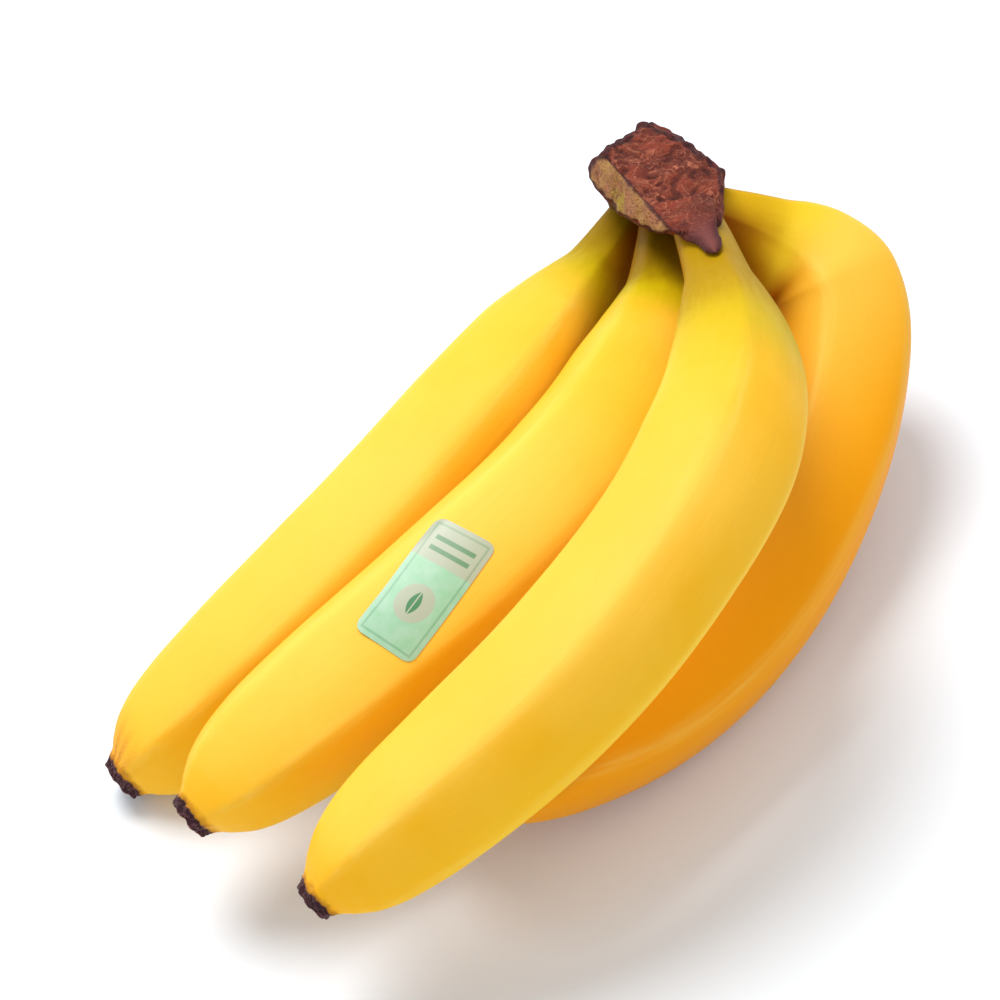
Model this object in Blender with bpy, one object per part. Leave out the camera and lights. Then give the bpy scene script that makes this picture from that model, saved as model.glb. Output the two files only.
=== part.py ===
"""Bunch of five bananas on one crown, lying on a table, with a small paper label on one finger.

The bunch lies with its crown raised and its fingertips spread, concave sides down: finger_1 to
finger_3 are the front row, finger_4 and finger_5 the back row beneath it. +X runs to the right of
someone facing the fingertips, +Y away from them and +Z up. The origin is on the table, in the
middle of the bunch.

A finger is a rounded pentagon carried along a bent middle line. The middle line starts at the
finger's root on the crown and turns, towards one side, by four angles in turn: at the neck, the
shoulder, the belly and the tip.
"""

import math
from dataclasses import dataclass

import bmesh
import bpy
import numpy as np
from mathutils import Euler

MM = 0.001

# Overall sizes
FINGER_LENGTH = 190 * MM
FINGER_GIRTH = 36 * MM
NECK_WIDTH = 12 * MM
TIP_WIDTH = 11 * MM
ROOT_WIDTH = 10.4 * MM

# The lay of the fingers below is drawn for these sizes and stretches with the sizes above
LAY_LENGTH = 190 * MM
LAY_GIRTH = 36 * MM
LAY_NECK = 12 * MM
LAY_AXIS = np.array([-0.40, -0.90, -0.17])
NECK_SHARE = 0.14

# Cross-section of a finger
RIDGES = 5
FLAT_DEPTH = 0.06
RING_SIDES = 15
STATIONS = 36

# Crown, in its own axes: across, up its face and out of its face
CROWN_WIDTH = 29 * MM
CROWN_HEIGHT = 24 * MM
CROWN_DEPTH = 53 * MM
CROWN_FRONT_SHARE = 0.40
CROWN_TILT = math.radians(42)
CROWN_EDGE = 2.5 * MM
CROWN_MIDDLE = np.array([-29.5, -86.5, 71.0]) * MM

# Label
LABEL_LENGTH = 28 * MM
LABEL_WIDTH = 14.5 * MM
LABEL_THICKNESS = 0.3 * MM
LABEL_STATION = 0.658
LABEL_AROUND = math.radians(-5)
LABEL_TURN = math.radians(-14)

# Clearance between pieces that touch
GAP = 0.3 * MM

# Turns about X and Y that set the drawn lay down on its three resting places
REST_TURNS = (math.radians(-1.8), math.radians(0.8))


@dataclass(frozen=True)
class Finger:
    """One banana: where it starts, where it heads, how it bends and how big it is.

    Its shoulder is how far from the root the neck swells, as a share of the usual distance.
    """

    name: str
    root: tuple
    heading: float
    pitch: float
    bend_side: float
    turns: tuple
    sideways: float
    length_share: float
    girth_share: float
    ridge_angle: float
    shoulder: float
    colour: tuple


FINGERS = (
    Finger("finger_1", (-33, -77, 54), -26, -7, -36, (1, 15, 18, 3), -11, 0.92, 0.96, -25, 1.0,
           (0.95, 0.66, 0.06)),
    Finger("finger_2", (-28, -88, 60), 1, 2, -92, (13, 32, 11, 0), 27, 0.96, 0.97, -48, 1.0,
           (0.95, 0.68, 0.07)),
    Finger("finger_3", (-22, -97, 72), 14, 9, -62, (7, 48, 26, -2), 3, 1.06, 0.93, -15, 1.0,
           (0.94, 0.64, 0.05)),
    Finger("finger_4", (-17, -87, 62.1), 93, -26, -59, (87, 25, 29, 9), -12, 1.02, 0.97, -10, 0.6,
           (0.88, 0.52, 0.03)),
    Finger("finger_5", (-18, -77, 53), -1, -53, -146, (19, 38, 0, 6), 1, 0.69, 0.94, 0, 1.0,
           (0.86, 0.50, 0.03)),
)
LABELLED_FINGER = "finger_2"

# Where each of the four turns starts and ends, as shares of the finger's length
TURN_SPANS = ((0.0, 0.30), (0.12, 0.62), (0.42, 0.92), (0.74, 1.04))

# Thickness of the body along a finger, as shares of its girth; neck and tip have their own widths
BODY_STATIONS = (0.12, 0.16, 0.20, 0.28, 0.42, 0.60, 0.75, 0.86, 0.915, 0.95, 0.975)
BODY_SHARES = (0.43, 0.56, 0.69, 0.88, 0.99, 1.0, 0.96, 0.87, 0.77, 0.64, 0.50)
NECK_STATION = 0.05


def clear_scene():
    """Remove every object, so that only the bunch is in the file."""
    for old in list(bpy.data.objects):
        bpy.data.objects.remove(old, do_unlink=True)


def curve_through(stations, values, where):
    """Read a smooth curve through stations that never overshoots them (monotone cubic)."""
    x = np.asarray(stations, float)
    y = np.asarray(values, float)
    step = np.diff(x)
    slope = np.diff(y) / step
    same_way = slope[:-1] * slope[1:] > 0
    mean = 2 * slope[:-1] * slope[1:] / np.where(same_way, slope[:-1] + slope[1:], 1.0)
    tangent = np.concatenate(([slope[0]], np.where(same_way, mean, 0.0), [slope[-1]]))
    k = np.clip(np.searchsorted(x, where) - 1, 0, len(step) - 1)
    t = (where - x[k]) / step[k]
    rise = t * t * (3 - 2 * t)
    return (y[k] * (1 - rise) + y[k + 1] * rise
            + step[k] * t * (1 - t) * (tangent[k] * (1 - t) - tangent[k + 1] * t))


def unit(vector):
    """Scale a vector, or each row of an array, to length one."""
    return vector / np.linalg.norm(vector, axis=-1, keepdims=True)


def eased_share(u, start, end):
    """Share of a turn made by station u: none at start, all at end, gentle at both."""
    t = np.clip((u - start) / (end - start), 0, 1)
    return t - np.sin(2 * math.pi * t) / (2 * math.pi)


def middle_line(finger, u):
    """Points along a finger's middle, at shares u of its length, in metres."""
    heading, pitch, side = (math.radians(a) for a in (finger.heading, finger.pitch, finger.bend_side))
    ahead = np.array([math.sin(heading) * math.cos(pitch), -math.cos(heading) * math.cos(pitch),
                      math.sin(pitch)])
    right = np.array([math.cos(heading), math.sin(heading), 0.0])
    down = np.cross(right, ahead)
    down = down if down[2] < 0 else -down
    inward = math.cos(side) * down + math.sin(side) * right
    across = np.cross(ahead, inward)
    bend = sum(math.radians(turn) * eased_share(u, *span) for turn, span in zip(finger.turns, TURN_SPANS))
    swing = math.radians(finger.sideways) * u
    direction = (np.outer(np.cos(bend) * np.cos(swing), ahead)
                 + np.outer(np.sin(bend) * np.cos(swing), inward)
                 + np.outer(np.sin(swing), across))
    steps = (direction[1:] + direction[:-1]) / 2 * np.diff(u)[:, None]
    drawn = np.vstack((np.zeros(3), np.cumsum(steps, axis=0))) * finger.length_share * LAY_LENGTH
    return stretch_lay(drawn + np.array(finger.root) * MM, u)


def stretch_lay(points, u):
    """Stretch the drawn lay along the bunch with the length, and across it with the girth."""
    centre = np.array(FINGERS[1].root) * MM
    axis = unit(LAY_AXIS)
    along = np.outer((points - centre) @ axis, axis)
    across = points - centre - along
    neck = NECK_WIDTH / LAY_NECK
    spread = neck + (FINGER_GIRTH / LAY_GIRTH - neck) * np.clip(u / NECK_SHARE, 0, 1)
    return centre + along * FINGER_LENGTH / LAY_LENGTH + across * spread[:, None]


def carried_frames(line):
    """Tangent, and two sideways directions carried along the line without twisting."""
    tangent = unit(np.gradient(line, axis=0))
    upward = np.zeros_like(tangent)
    start = np.array([0.0, 0.0, 1.0])
    for k, ahead in enumerate(tangent):
        start = unit(start - ahead * (start @ ahead))
        upward[k] = start
    return tangent, upward, np.cross(tangent, upward)


def thickness(finger, u):
    """Half-width of a finger at shares u of its length."""
    girth = FINGER_GIRTH * finger.girth_share
    stations = (0.0, *(at * finger.shoulder for at in (NECK_STATION, *BODY_STATIONS[:4])),
                *BODY_STATIONS[4:], 1.0)
    widths = (ROOT_WIDTH, NECK_WIDTH, *(girth * share for share in BODY_SHARES), TIP_WIDTH)
    return curve_through(stations, widths, u) / 2


def ridge_profile(angle):
    """Section of a finger: one at the five ridges, a little less on the flats between them."""
    return 1 - FLAT_DEPTH * (1 - np.cos(RIDGES * angle)) / 2


def surface_points(finger, u, angle, offset=0.0):
    """Points of a finger's skin at matching arrays of stations and angles, pushed out by offset."""
    fine = np.linspace(0, 1, 201)
    line = middle_line(finger, fine)
    _, upward, across = carried_frames(line)
    at = np.stack([np.interp(u, fine, line[:, k]) for k in range(3)], -1)
    up = np.stack([np.interp(u, fine, upward[:, k]) for k in range(3)], -1)
    side = np.stack([np.interp(u, fine, across[:, k]) for k in range(3)], -1)
    radius = thickness(finger, u) * ridge_profile(angle - math.radians(finger.ridge_angle)) + offset
    return at + radius[..., None] * (np.cos(angle)[..., None] * up + np.sin(angle)[..., None] * side)


def skin_material(name, colour, roughness):
    """Plain Principled material."""
    material = bpy.data.materials.new(name)
    material.use_nodes = True
    shader = material.node_tree.nodes["Principled BSDF"]
    shader.inputs["Base Color"].default_value = (*colour, 1.0)
    shader.inputs["Roughness"].default_value = roughness
    shader.inputs["Metallic"].default_value = 0.0
    material.diffuse_color = (*colour, 1.0)
    return material


def add_object(name, mesh_data, material=None):
    """Turn a bmesh into a smooth-shaded object of that name."""
    bmesh.ops.recalc_face_normals(mesh_data, faces=mesh_data.faces)
    mesh = bpy.data.meshes.new(name)
    mesh_data.to_mesh(mesh)
    mesh_data.free()
    mesh.shade_smooth()
    mesh.set_sharp_from_angle(angle=math.radians(40))
    if material:
        mesh.materials.append(material)
    obj = bpy.data.objects.new(name, mesh)
    bpy.context.scene.collection.objects.link(obj)
    return obj


def bridge_rings(rings):
    """Closed body from a stack of rings of equal size, with flat ends."""
    body = bmesh.new()
    loops = [[body.verts.new(point) for point in ring] for ring in rings]
    for lower, upper in zip(loops, loops[1:]):
        for k in range(len(lower)):
            after = (k + 1) % len(lower)
            body.faces.new((lower[k], lower[after], upper[after], upper[k]))
    body.faces.new(loops[0][::-1])
    body.faces.new(loops[-1])
    return body


def finger_rings(finger, u, offset=0.0):
    """Rings of skin points at stations u."""
    angle = math.radians(finger.ridge_angle) + np.arange(RING_SIDES) * 2 * math.pi / RING_SIDES
    stations, angles = np.meshgrid(u, angle, indexing="ij")
    return surface_points(finger, stations, angles, offset)


def spaced_stations():
    """Stations along a finger, closer together towards its neck and tip."""
    even = np.linspace(0, 1, STATIONS)
    return even - 0.09 * np.sin(2 * math.pi * even) * (1 - 0.3 * even)


def make_finger(finger):
    """Closed body of one finger."""
    body = bridge_rings(finger_rings(finger, spaced_stations()))
    return add_object(finger.name, body, skin_material(finger.name, finger.colour, 0.42))


def make_socket_cutter(finger):
    """Neck of a finger grown by the gap, which cuts its socket in the crown."""
    rings = finger_rings(finger, np.linspace(0, 0.16, 9), GAP)
    inward = unit(rings[0].mean(axis=0) - rings[1].mean(axis=0))
    rings = np.concatenate(((rings[0] + inward * GAP)[None], rings[1:]))
    cutter = add_object("socket_" + finger.name, bridge_rings(rings))
    cutter.hide_render = True
    cutter.hide_viewport = True
    cutter.display_type = "WIRE"
    return cutter


def make_crown():
    """Wedge of cut stalk: a house-shaped face that leans back over the roots of the fingers."""
    half = CROWN_WIDTH / 2
    foot = -CROWN_HEIGHT / 2
    top = CROWN_HEIGHT / 2
    outline = ((-0.15 * half, top), (-0.45 * half, 0.72 * top), (-half, 0.25 * top), (-half, -0.1 * top),
               (-0.62 * half, 0.72 * foot), (-0.1 * half, foot), (0.65 * half, foot), (half, 0.85 * foot),
               (half, 0.1 * top), (0.42 * half, 0.62 * top))
    across = np.array([1.0, 0.0, 0.0])
    face_up = np.array([0.0, math.sin(CROWN_TILT), math.cos(CROWN_TILT)])
    outward = np.array([0.0, -math.cos(CROWN_TILT), math.sin(CROWN_TILT)])
    middle = stretch_lay(CROWN_MIDDLE[None], np.zeros(1))[0]
    back = []
    front = []
    for x, height in outline:
        share = (height - foot) / CROWN_HEIGHT
        depth = CROWN_DEPTH * (1 - (1 - CROWN_FRONT_SHARE) * share)
        point = middle + across * x + face_up * height
        back.append(point - outward * 0.5 * CROWN_DEPTH)
        front.append(point + outward * (depth - 0.5 * CROWN_DEPTH))
    crown = add_object("crown", bridge_rings((back, front)), skin_material("crown", (0.26, 0.06, 0.03), 0.85))
    edge = crown.modifiers.new("worn_edges", "BEVEL")
    edge.width = CROWN_EDGE
    edge.segments = 2
    edge.limit_method = "ANGLE"
    edge.angle_limit = math.radians(20)
    for finger in FINGERS:
        socket = crown.modifiers.new("socket_" + finger.name, "BOOLEAN")
        socket.operation = "DIFFERENCE"
        socket.solver = "EXACT"
        socket.object = make_socket_cutter(finger)
    return crown


def make_label():
    """Thin patch with round corners that follows the skin of its finger."""
    finger = next(f for f in FINGERS if f.name == LABELLED_FINGER)
    length = FINGER_LENGTH * finger.length_share
    radius = float(thickness(finger, np.array([LABEL_STATION]))[0])
    rows, columns, corner = 13, 7, 2 * MM
    along = np.linspace(-0.5, 0.5, rows) * LABEL_LENGTH
    over_end = np.clip(np.abs(along) - (LABEL_LENGTH / 2 - corner), 0, corner)
    half_width = LABEL_WIDTH / 2 - corner + np.sqrt(corner ** 2 - over_end ** 2)
    across = half_width[:, None] * np.linspace(-1, 1, columns)
    along = np.repeat(along[:, None], columns, axis=1)
    station = LABEL_STATION + (along * math.cos(LABEL_TURN) - across * math.sin(LABEL_TURN)) / length
    angle = LABEL_AROUND + (along * math.sin(LABEL_TURN) + across * math.cos(LABEL_TURN)) / radius
    under = surface_points(finger, station, angle, GAP)
    over = surface_points(finger, station, angle, GAP + LABEL_THICKNESS)
    body = bmesh.new()
    low = [[body.verts.new(p) for p in row] for row in under]
    high = [[body.verts.new(p) for p in row] for row in over]
    for sheet in (low, high):
        for a, b in zip(sheet, sheet[1:]):
            for k in range(columns - 1):
                body.faces.new((a[k], a[k + 1], b[k + 1], b[k]))
    rim = [(0, k) for k in range(columns)] + [(r, columns - 1) for r in range(1, rows)]
    rim += [(rows - 1, k) for k in range(columns - 2, -1, -1)] + [(r, 0) for r in range(rows - 2, 0, -1)]
    for (r, c), (r2, c2) in zip(rim, rim[1:] + rim[:1]):
        body.faces.new((low[r][c], low[r2][c2], high[r2][c2], high[r][c]))
    return add_object("fruit_sticker", body, skin_material("fruit_sticker", (0.50, 0.80, 0.42), 0.4))


def set_on_table(pieces):
    """Turn the bunch onto its resting places and put the origin on the table, under its middle."""
    turn = Euler((*REST_TURNS, 0.0)).to_matrix()
    corners = np.array([turn @ v.co for piece in pieces for v in piece.data.vertices])
    low = corners.min(axis=0)
    high = corners.max(axis=0)
    bunch = bpy.data.objects.new("bunch", None)
    bpy.context.scene.collection.objects.link(bunch)
    bunch.rotation_euler = (*REST_TURNS, 0.0)
    bunch.location = (-(low[0] + high[0]) / 2, -(low[1] + high[1]) / 2, -low[2])
    for obj in list(bpy.data.objects):
        if obj is not bunch:
            obj.parent = bunch


def main():
    """Build the bunch."""
    clear_scene()
    pieces = [make_finger(finger) for finger in FINGERS]
    pieces.append(make_crown())
    pieces.append(make_label())
    set_on_table(pieces)


main()
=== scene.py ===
"""Bunch of five bananas on one crown, with a small paper label, lying on a pale table.

Every shape is worked out as whole arrays: a finger is a soft five-sided section carried along a
bent middle line, the crown is a rounded block of flat faces, and the label is a patch laid on the
skin of its finger. Lengths are in metres unless a name says millimetres; angles are in degrees
where they are typed in and in radians inside the functions.
"""

import itertools
import logging
import math
from dataclasses import dataclass, field
from enum import Enum

import bpy
import numpy as np
from mathutils import Euler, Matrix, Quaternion, Vector


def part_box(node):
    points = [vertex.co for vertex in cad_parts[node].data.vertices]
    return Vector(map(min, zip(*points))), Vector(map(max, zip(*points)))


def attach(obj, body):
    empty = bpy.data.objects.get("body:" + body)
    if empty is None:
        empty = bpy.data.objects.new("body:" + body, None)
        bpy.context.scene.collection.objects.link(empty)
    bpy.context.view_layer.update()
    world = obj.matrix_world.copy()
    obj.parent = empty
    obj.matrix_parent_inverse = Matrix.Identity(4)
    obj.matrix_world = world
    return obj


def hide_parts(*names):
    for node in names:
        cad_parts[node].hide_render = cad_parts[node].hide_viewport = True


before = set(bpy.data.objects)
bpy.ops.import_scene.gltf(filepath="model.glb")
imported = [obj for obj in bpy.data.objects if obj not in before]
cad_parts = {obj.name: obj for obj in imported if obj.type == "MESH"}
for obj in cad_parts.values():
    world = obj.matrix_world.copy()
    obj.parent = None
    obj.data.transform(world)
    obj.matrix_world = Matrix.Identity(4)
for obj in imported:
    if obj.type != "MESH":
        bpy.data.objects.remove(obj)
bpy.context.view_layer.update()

LOG = logging.getLogger("bananas")
MM = 0.001
BODY = "root"
Tone = tuple[float, float, float]
Array = np.ndarray
Socket = bpy.types.NodeSocket


class Surface(Enum):
    """Material slots of the record."""

    PEEL = "peel"
    CROWN = "crown"
    LABEL = "label"


def tone(red: float, green: float, blue: float) -> tuple[float, float, float, float]:
    """Turn a screen colour of 0 to 255 into the linear colour that a shader takes.

    Args:
        red: Red share, 0 to 255.
        green: Green share, 0 to 255.
        blue: Blue share, 0 to 255.

    Returns:
        Linear red, green, blue and an alpha of one.
    """
    shares = (np.array([red, green, blue]) / 255.0).clip(0, 1)
    linear = np.where(shares <= 0.04045, shares / 12.92, ((shares + 0.055) / 1.055) ** 2.4)
    return (*(float(v) for v in linear), 1.0)


def unit(vectors: Array) -> Array:
    """Scale each vector of an array to length one."""
    return vectors / np.linalg.norm(vectors, axis=-1, keepdims=True)


def eased(values: Array, start: float, end: float) -> Array:
    """Rise smoothly from 0 at start to 1 at end: t squared times (3 - 2t).

    Args:
        values: Values to read.
        start: Value at which the rise begins.
        end: Value at which it is complete; less than start for a fall.

    Returns:
        Shares between 0 and 1.
    """
    t = np.clip((values - start) / (end - start), 0, 1)
    return t * t * (3 - 2 * t)


def curve_through(stations: Array, values: Array, where: Array) -> Array:
    """Read a smooth curve through stations that never overshoots them (monotone cubic).

    Args:
        stations: Rising places of the known values.
        values: Known values.
        where: Places to read.

    Returns:
        Value of the curve at each place.
    """
    x = np.asarray(stations, float)
    y = np.asarray(values, float)
    step = np.diff(x)
    slope = np.diff(y) / step
    same_way = slope[:-1] * slope[1:] > 0
    mean = 2 * slope[:-1] * slope[1:] / np.where(same_way, slope[:-1] + slope[1:], 1.0)
    tangent = np.concatenate(([slope[0]], np.where(same_way, mean, 0.0), [slope[-1]]))
    k = np.clip(np.searchsorted(x, where) - 1, 0, len(step) - 1)
    t = (where - x[k]) / step[k]
    rise = t * t * (3 - 2 * t)
    return (y[k] * (1 - rise) + y[k + 1] * rise
            + step[k] * t * (1 - t) * (tangent[k] * (1 - t) - tangent[k + 1] * t))


def lumps(points: Array, cell: float, seed: int) -> Array:
    """Smooth random field: values drawn at the corners of cubes, blended by eased distance.

    Args:
        points: Array of places, last axis x, y, z.
        cell: Side of a cube.
        seed: Seed of the draw.

    Returns:
        Field between -1 and 1, without the last axis.
    """
    table = np.random.default_rng(seed).uniform(-1, 1, 4096)
    scaled = points / cell
    base = np.floor(scaled).astype(np.int64)
    part = scaled - base
    part = part * part * (3 - 2 * part)
    total = np.zeros(points.shape[:-1])
    for corner in itertools.product((0, 1), repeat=3):
        key = (base + np.array(corner)) @ np.array([73856093, 19349663, 83492791])
        weight = np.prod(np.where(np.array(corner) == 1, part, 1 - part), axis=-1)
        total += weight * table[(key ^ (key >> 13)) & 4095]
    return total


def rough_lumps(points: Array, cell: float, seed: int, layers: int = 3) -> Array:
    """Add layers of lumps, each half the size and half the height of the one before."""
    return sum(0.5 ** k * lumps(points, cell * 0.5 ** k, seed + k) for k in range(layers))


@dataclass
class Skin:
    """Closed surface: a stack of equal rings, drawn together to a point at both ends.

    Attributes:
        rings: Points, as rows by columns by three.
        marks: Named values over the same rows and columns, for the finish to read.
    """

    rings: Array
    marks: dict[str, Array] = field(default_factory=dict)

    def points(self) -> Array:
        """All corners: the rings, then the middle of the first ring and of the last."""
        ends = np.stack((self.rings[0].mean(axis=0), self.rings[-1].mean(axis=0)))
        return np.concatenate((self.rings.reshape(-1, 3), ends))

    def mark(self, name: str, width: int) -> Array:
        """Values of one mark at every corner, zero where the skin has no such mark.

        Args:
            name: Mark to read.
            width: Numbers per corner, one or three.

        Returns:
            Array of corners by width.
        """
        rows, columns = self.rings.shape[:2]
        values = self.marks.get(name, np.zeros((rows, columns, width)))
        values = values.reshape(rows, columns, width)
        ends = np.stack((values[0].mean(axis=0), values[-1].mean(axis=0)))
        return np.concatenate((values.reshape(-1, width), ends))

    def faces(self) -> tuple[Array, Array]:
        """Four-sided faces between neighbouring rings, and triangles that close both ends.

        Returns:
            Quads and triangles, as corner numbers, turned so that they face outwards.
        """
        rows, columns = self.rings.shape[:2]
        here = np.arange(rows * columns).reshape(rows, columns)
        after = np.roll(here, -1, axis=1)
        quads = np.stack((here[:-1], after[:-1], after[1:], here[1:]), axis=-1).reshape(-1, 4)
        first = np.full(columns, rows * columns)
        last = first + 1
        ends = np.concatenate((np.stack((after[0], here[0], first), -1),
                               np.stack((here[-1], after[-1], last), -1)))
        corner = self.points()[quads]
        volume = np.einsum("ij,ij->", corner[:, 0], np.cross(corner[:, 1], corner[:, 2]))
        if volume < 0:
            return quads[:, ::-1], ends[:, ::-1]
        return quads, ends


def make_piece(name: str, skins: list[Skin], sharp: float = 60.0) -> bpy.types.Object:
    """Put closed surfaces into one mesh object at the origin, with their marks as attributes.

    Args:
        name: Name of the piece.
        skins: Closed surfaces of the piece.
        sharp: Angle in degrees from which an edge is shaded sharp.

    Returns:
        The object, linked to the scene.
    """
    points = np.concatenate([skin.points() for skin in skins])
    starts = np.cumsum([0] + [len(skin.points()) for skin in skins[:-1]])
    quads = np.concatenate([skin.faces()[0] + start for skin, start in zip(skins, starts)])
    ends = np.concatenate([skin.faces()[1] + start for skin, start in zip(skins, starts)])
    mesh = bpy.data.meshes.new(name)
    mesh.vertices.add(len(points))
    mesh.vertices.foreach_set("co", points.astype(np.float32).ravel())
    mesh.loops.add(quads.size + ends.size)
    order = np.concatenate((quads.ravel(), ends.ravel()))
    mesh.loops.foreach_set("vertex_index", order.astype(np.int32))
    mesh.polygons.add(len(quads) + len(ends))
    first_corner = np.concatenate((np.arange(len(quads)) * 4,
                                   quads.size + np.arange(len(ends)) * 3))
    mesh.polygons.foreach_set("loop_start", first_corner.astype(np.int32))
    mesh.update(calc_edges=True)
    names = dict.fromkeys(itertools.chain.from_iterable(skin.marks for skin in skins))
    for mark in names:
        sample = next(skin.marks[mark] for skin in skins if mark in skin.marks)
        width = 3 if sample.ndim == 3 else 1
        kind, slot = ("FLOAT_VECTOR", "vector") if width == 3 else ("FLOAT", "value")
        layer = mesh.attributes.new(mark, kind, "POINT")
        values = np.concatenate([skin.mark(mark, width) for skin in skins])
        layer.data.foreach_set(slot, values.astype(np.float32).ravel())
    mesh.shade_smooth()
    mesh.set_sharp_from_angle(angle=math.radians(sharp))
    obj = bpy.data.objects.new(name, mesh)
    bpy.context.scene.collection.objects.link(obj)
    return obj


class Graph:
    """Adds nodes to one node tree and joins them up."""

    def __init__(self, tree: bpy.types.NodeTree) -> None:
        """Keep the tree that the nodes go into."""
        self.tree = tree

    def join(self, node: bpy.types.Node, **sockets: object) -> None:
        """Join or set the inputs of a node.

        Args:
            node: Node to set up.
            **sockets: Inputs by name with underscores for spaces, or by place as in0, in1.
                A socket is joined and anything else is set.
        """
        for name, value in sockets.items():
            by_place = name.startswith("in") and name[2:].isdigit()
            socket = node.inputs[int(name[2:]) if by_place else name.replace("_", " ")]
            if isinstance(value, Socket):
                self.tree.links.new(value, socket)
            else:
                socket.default_value = value

    def put(self, kind: str, settings: dict | None = None, **sockets: object) -> bpy.types.Node:
        """Add a node, set it up and join its inputs.

        Args:
            kind: Node type without its ShaderNode prefix.
            settings: Settings of the node by name.
            **sockets: Inputs, as join takes them.

        Returns:
            The new node.
        """
        node = self.tree.nodes.new("ShaderNode" + kind)
        for name, value in (settings or {}).items():
            setattr(node, name, value)
        self.join(node, **sockets)
        return node

    def work(self, operation: str, *values: object) -> Socket:
        """Work out Math nodes from left to right, each on the result so far and the next value.

        Args:
            operation: Operation of the Math nodes.
            *values: Numbers or sockets; a single one is taken together with zero.

        Returns:
            The result.
        """
        result, *others = values
        for value in others or (0.0,):
            result = self.put("Math", {"operation": operation}, in0=result, in1=value).outputs[0]
        return result

    def times(self, *values: object) -> Socket:
        """Multiply values."""
        return self.work("MULTIPLY", *values)

    def plus(self, *values: object) -> Socket:
        """Add values up."""
        return self.work("ADD", *values)

    def minus(self, first: object, second: object) -> Socket:
        """Take the second value from the first."""
        return self.work("SUBTRACT", first, second)

    def size(self, value: object) -> Socket:
        """Drop the sign of a value."""
        return self.work("ABSOLUTE", value)

    def mix(self, share: object, first: object, second: object) -> Socket:
        """Blend two colours by a share."""
        return self.put("Mix", {"data_type": "RGBA"}, in0=share, in6=first, in7=second).outputs[2]

    def over(self, colour: Socket, *layers: tuple[object, Tone]) -> Socket:
        """Lay screen colours over a colour one after another, each by its share."""
        for share, top in layers:
            colour = self.mix(share, colour, tone(*top))
        return colour

    def ramp(self, value: object, low: object, high: object, start: float = 0.0,
             end: float = 1.0) -> Socket:
        """Rise smoothly from start to end while value goes from low to high."""
        return self.put("MapRange", {"interpolation_type": "SMOOTHSTEP"}, Value=value, From_Min=low,
                        From_Max=high, To_Min=start, To_Max=end).outputs[0]

    def mark(self, name: str) -> Socket:
        """Read one number per corner that the mesh carries."""
        return self.put("Attribute", {"attribute_name": name}).outputs["Fac"]

    def place(self, name: str) -> Socket:
        """Read one vector per corner that the mesh carries."""
        return self.put("Attribute", {"attribute_name": name}).outputs["Vector"]

    def bump(self, height: Socket, strength: float, distance: float) -> Socket:
        """Turn a height into a bent normal."""
        return self.put("Bump", Strength=strength, Distance=distance, Height=height).outputs[0]

    def group(self, tree: bpy.types.NodeTree, **sockets: object) -> Socket:
        """Place a node group and return its first output."""
        return self.put("Group", {"node_tree": tree}, **sockets).outputs[0]


class Patterns:
    """Node groups that more than one finish uses, each built once."""

    def __init__(self) -> None:
        """Build the groups."""
        self.streaks = self._streaks()
        self.blotches = self._blotches()
        self.fibres = self._fibres()

    @staticmethod
    def _start(name: str, numbers: dict[str, float]) -> tuple[Graph, bpy.types.NodeOutputs]:
        """Open a group with a Vector input, further number inputs and one Value output.

        Args:
            name: Name of the group.
            numbers: Number inputs and what they start at.

        Returns:
            Graph of the group, and what it is given, by name.
        """
        tree = bpy.data.node_groups.new(name, "ShaderNodeTree")
        tree.interface.new_socket("Vector", in_out="INPUT", socket_type="NodeSocketVector")
        for label, value in numbers.items():
            socket = tree.interface.new_socket(label, in_out="INPUT", socket_type="NodeSocketFloat")
            socket.default_value = value
        tree.interface.new_socket("Value", in_out="OUTPUT", socket_type="NodeSocketFloat")
        return Graph(tree), tree.nodes.new("NodeGroupInput").outputs

    @staticmethod
    def _finish(graph: Graph, value: Socket) -> bpy.types.NodeTree:
        """Join the value to the group's output."""
        graph.tree.links.new(value, graph.tree.nodes.new("NodeGroupOutput").inputs[0])
        return graph.tree

    def _streaks(self) -> bpy.types.NodeTree:
        """Fine lines along the first axis: noise squeezed across and drawn out along."""
        graph, given = self._start("streaks", {"Lines": 900.0, "Drawn out": 0.05})
        drawn = graph.put("CombineXYZ", X=given["Drawn out"], Y=1.0, Z=1.0).outputs[0]
        squeezed = graph.put("VectorMath", {"operation": "MULTIPLY"}, in0=given["Vector"], in1=drawn)
        noise = graph.put("TexNoise", Vector=squeezed.outputs[0], Scale=given["Lines"], Detail=3.0)
        return self._finish(graph, noise.outputs[0])

    def _blotches(self) -> bpy.types.NodeTree:
        """Soft patches: noise cut between two levels."""
        graph, given = self._start("blotches", {"Size": 40.0, "Low": 0.4, "High": 0.6})
        noise = graph.put("TexNoise", Vector=given["Vector"], Scale=given["Size"], Detail=4.0,
                          Roughness=0.55)
        return self._finish(graph, graph.ramp(noise.outputs[0], given["Low"], given["High"]))

    def _fibres(self) -> bpy.types.NodeTree:
        """Tangled threads: where a twisted noise field is close to its middle level."""
        graph, given = self._start("fibres", {"Size": 200.0, "Width": 0.05})
        noise = graph.put("TexNoise", Vector=given["Vector"], Scale=given["Size"], Detail=2.0,
                          Distortion=1.6)
        away = graph.size(graph.minus(noise.outputs[0], 0.5))
        return self._finish(graph, graph.ramp(away, 0.0, given["Width"], 1.0, 0.0))


def new_material(name: str) -> tuple[bpy.types.Material, Graph, bpy.types.Node]:
    """Open a material.

    Args:
        name: Name of the material.

    Returns:
        The material, its graph and its Principled shader.
    """
    material = bpy.data.materials.new(name)
    material.use_nodes = True
    return material, Graph(material.node_tree), material.node_tree.nodes["Principled BSDF"]


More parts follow.
